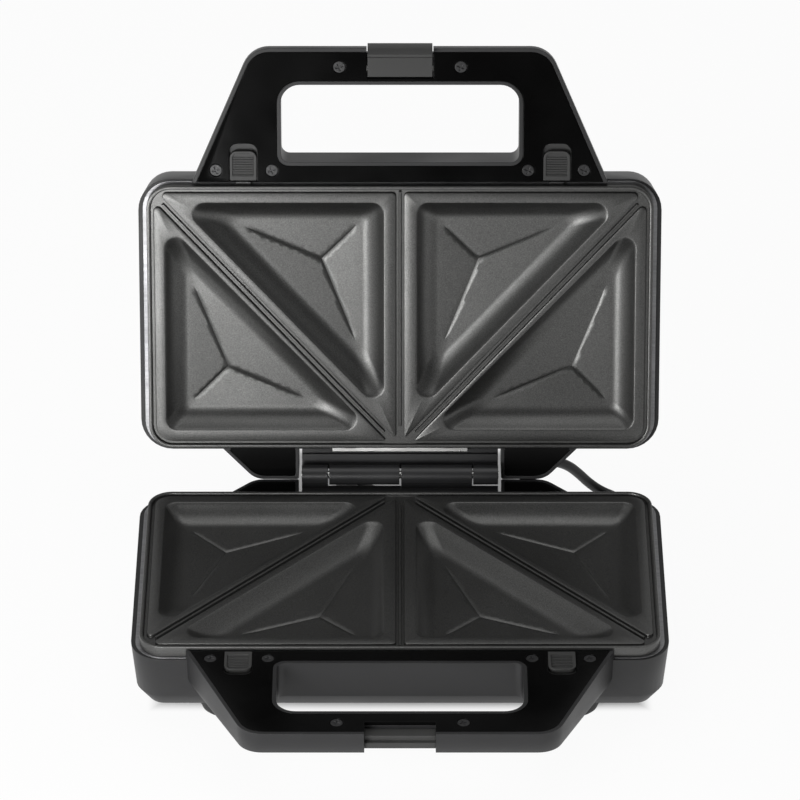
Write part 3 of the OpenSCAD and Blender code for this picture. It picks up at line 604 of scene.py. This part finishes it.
def coil_points():
    """Two turns on the table, outer then inner, and two on top of them, inner then outer."""
    out = []
    plan = [(0.5, 0), (-0.5, 0), (-0.5, 1), (0.5, 1)]
    for n, (ring, layer) in enumerate(plan):
        ring2, layer2 = plan[min(n + 1, len(plan) - 1)]
        for k in range(1 if n == 0 else 0, COIL_STEPS):
            f = max(0, (k - (1 - CLIMB) * COIL_STEPS) / (CLIMB * COIL_STEPS))
            f = f * f * (3 - 2 * f)
            r = COIL_R + TURN * (ring + (ring2 - ring) * f)
            z = CORD_D / 2 + TURN * (layer + (layer2 - layer) * f)
            a = 2 * pi * k / COIL_STEPS
            out.append(COIL_AT + Vector((r * cos(a), r * sin(a), z)))
    return out


def mains_cord():
    points = eased(ROUTE) + coil_points() + eased(TAIL)
    shift = Vector((0, Y0, 0))
    curve = bpy.data.curves.new("mains_lead", "CURVE")
    curve.dimensions = "3D"
    curve.bevel_depth = CORD_D / 2 * MM
    curve.bevel_resolution = 4
    curve.use_fill_caps = True
    line = curve.splines.new("POLY")
    line.points.add(len(points) - 1)
    for at, p in zip(line.points, points):
        at.co = (*((p + shift) * MM), 1)
    line.use_smooth = True
    lead = bpy.data.objects.new("mains_lead", curve)
    curve.materials.append(JACKET)
    place(lead)
    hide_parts("mains_cord", "cord_coil")
    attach(lead, "base")


mains_cord()


# ---------------------------------------------------------------- floor, light
# two areas of the floor that keep their own shade, in metres: half width, front, rear
FOOTPRINT = (0.112, -0.052, (Y0 + EDGE + 4) * MM)   # under the base
HINGE_SHADE = (0.054, 0.05, 0.165)                  # what shows through the hinge's gaps
FLOOR_W = 14
WHITE_SHARE = 0.94                # how white the open floor is by itself; the rest keeps shadow
SHARE_EDGE = 0.012                # over how much floor that share sets in
FLOOR_LOW, FLOOR_HIGH = (0.92, 0.92, 0.92), (0.94, 0.94, 0.94)
ROOM_DIM, ROOM_PALE = (0.06, 0.06, 0.06, 1), (0.42, 0.42, 0.42, 1)


def beyond(nodes, links, at, area):
    """Distance past the nearest side of an area on the floor, below zero inside it."""
    half, y0, y1 = area
    dx = number(nodes, links, "SUBTRACT", number(nodes, links, "ABSOLUTE", at.outputs["X"]), half)
    dy = number(nodes, links, "SUBTRACT",
                number(nodes, links, "ABSOLUTE",
                       number(nodes, links, "SUBTRACT", at.outputs["Y"], (y0 + y1) / 2)),
                (y1 - y0) / 2)
    return number(nodes, links, "MAXIMUM", dx, dy)


def white_share(nodes, links):
    """None in the two shaded areas, WHITE_SHARE away from them, for camera, mirror and
    glass rays alone."""
    where = nodes.new("ShaderNodeTexCoord")
    split = nodes.new("ShaderNodeSeparateXYZ")
    links.new(where.outputs["Object"], split.inputs["Vector"])
    away = nodes.new("ShaderNodeMapRange")
    away.interpolation_type = "SMOOTHSTEP"
    away.inputs["From Min"].default_value = 0.0
    away.inputs["From Max"].default_value = SHARE_EDGE
    away.inputs["To Max"].default_value = WHITE_SHARE
    links.new(number(nodes, links, "MINIMUM", beyond(nodes, links, split, FOOTPRINT),
                     beyond(nodes, links, split, HINGE_SHADE)), away.inputs["Value"])
    path = nodes.new("ShaderNodeLightPath")
    seen = number(nodes, links, "MAXIMUM", path.outputs["Is Camera Ray"],
                  number(nodes, links, "MAXIMUM", path.outputs["Is Glossy Ray"],
                         path.outputs["Is Transmission Ray"]))
    return number(nodes, links, "MULTIPLY", away.outputs["Result"], seen)


def floor():
    bpy.ops.mesh.primitive_plane_add(size=FLOOR_W, location=(0, 0, 0))
    ground = bpy.context.object
    ground.name = "floor"
    m, nodes, links, shader = material("floor", FLOOR_LOW, 0.9, specular=0.1)
    links.new(ramp(nodes, links, noise(nodes, links, 3), 0.2, 0.8, FLOOR_LOW, FLOOR_HIGH),
              shader.inputs["Base Color"])
    glow = nodes.new("ShaderNodeEmission")
    mix = nodes.new("ShaderNodeMixShader")
    links.new(white_share(nodes, links), mix.inputs["Fac"])
    links.new(shader.outputs["BSDF"], mix.inputs[1])
    links.new(glow.outputs["Emission"], mix.inputs[2])
    links.new(mix.outputs["Shader"], nodes["Material Output"].inputs["Surface"])
    ground.data.materials.append(m)


def softbox(name, at, towards, size, radiance):
    """A rectangular lamp, placed and sized in metres, that the camera doesn't see."""
    light = bpy.data.lights.new(name, "AREA")
    light.shape = "RECTANGLE"
    light.size, light.size_y = size
    light.energy = radiance * pi * size[0] * size[1]
    lamp = bpy.data.objects.new(name, light)
    lamp.location = at
    lamp.rotation_euler = (Vector(towards) - Vector(at)).to_track_quat("-Z", "Y").to_euler()
    lamp.visible_camera = False
    place(lamp)


def studio():
    """A pale room behind and beside the object, dim on the camera's side."""
    world = bpy.data.worlds.new("studio")
    scene.world = world
    world.use_nodes = True
    nodes, links = world.node_tree.nodes, world.node_tree.links
    background = nodes["Background"]
    where = nodes.new("ShaderNodeTexCoord")
    split = nodes.new("ShaderNodeSeparateXYZ")
    links.new(where.outputs["Generated"], split.inputs["Vector"])
    room = nodes.new("ShaderNodeValToRGB")
    room.color_ramp.elements[0].position = 0.12
    room.color_ramp.elements[0].color = ROOM_DIM
    room.color_ramp.elements[1].position = 0.55
    room.color_ramp.elements[1].color = ROOM_PALE
    half = nodes.new("ShaderNodeMapRange")
    half.inputs["From Min"].default_value = -1
    links.new(split.outputs["Y"], half.inputs["Value"])
    links.new(half.outputs["Result"], room.inputs["Fac"])
    links.new(room.outputs["Color"], background.inputs["Color"])


floor()
studio()
softbox("key", at=(-0.75, -0.8, 0.42), towards=(0, 0.05, 0.12), size=(0.7, 0.6), radiance=3.0)
softbox("top", at=(0.0, 0.1, 2.2), towards=(0, 0, 0), size=(1.8, 1.8), radiance=0.9)
softbox("low", at=(-0.27, -0.62, 0.2), towards=(-0.06, 0.07, 0.19), size=(0.26, 0.2),
        radiance=14.0)

scene.view_settings.view_transform = "Standard"
